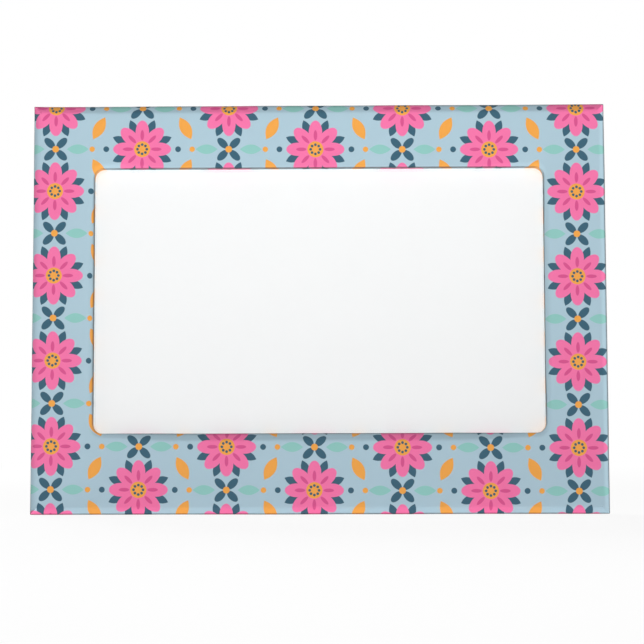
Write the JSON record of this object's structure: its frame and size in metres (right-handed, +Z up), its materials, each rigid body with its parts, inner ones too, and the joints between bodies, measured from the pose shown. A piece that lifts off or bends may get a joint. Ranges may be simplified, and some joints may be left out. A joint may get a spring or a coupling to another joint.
{
  "type": "magnetic photo frame",
  "caption": "Flat padded photo frame in a printed wrap, with a wide landscape window, a pocket open at the top for a standard print and a flexible magnet over its back.",
  "frame": {"origin": "centre of the magnet's outer face, the face that clings to the fridge or board; the magnet is centred on the frame's outline", "axes": "+X along the frame's long side, to the right seen from the front; +Y from the face towards the magnet's outer face, so the face looks along -Y; +Z up, towards the open end of the pocket"},
  "size_m": [0.1778, 0.0086, 0.127],
  "materials": {
    "printed_wrap": "satin, coated cloth-backed paper, printed all over with flowers",
    "foam": "matt open foam",
    "greyboard": "matt, unbleached fibre",
    "cover_paper": "matt, uncoated white paper",
    "clear_film": "clear, glossy plastic film",
    "tape": "matt double-sided tape",
    "insert_card": "smooth white card",
    "flexible_magnet": "matt dark brown magnetic rubber with fine parallel lines"
  },
  "bodies": {
    "frame": {"printed_wrap": "printed_wrap", "foam_pad": "foam", "front_board": "greyboard", "back_board": "greyboard", "spacer_left": "greyboard", "spacer_right": "greyboard", "spacer_bottom": "greyboard", "back_cover": "cover_paper", "pocket_liner": "cover_paper", "clear_sheet": "clear_film", "sheet_tape_top": "tape", "sheet_tape_bottom": "tape", "sheet_tape_left": "tape", "sheet_tape_right": "tape", "magnet_sheet": "flexible_magnet"},
    "insert": {"insert_card": "insert_card"}
  },
  "joints": [
    {"name": "insert_slide", "type": "slide", "parent": "frame", "child": "insert", "axis": [0, 0, 1], "range_m": [0, 0.105]}
  ]
}
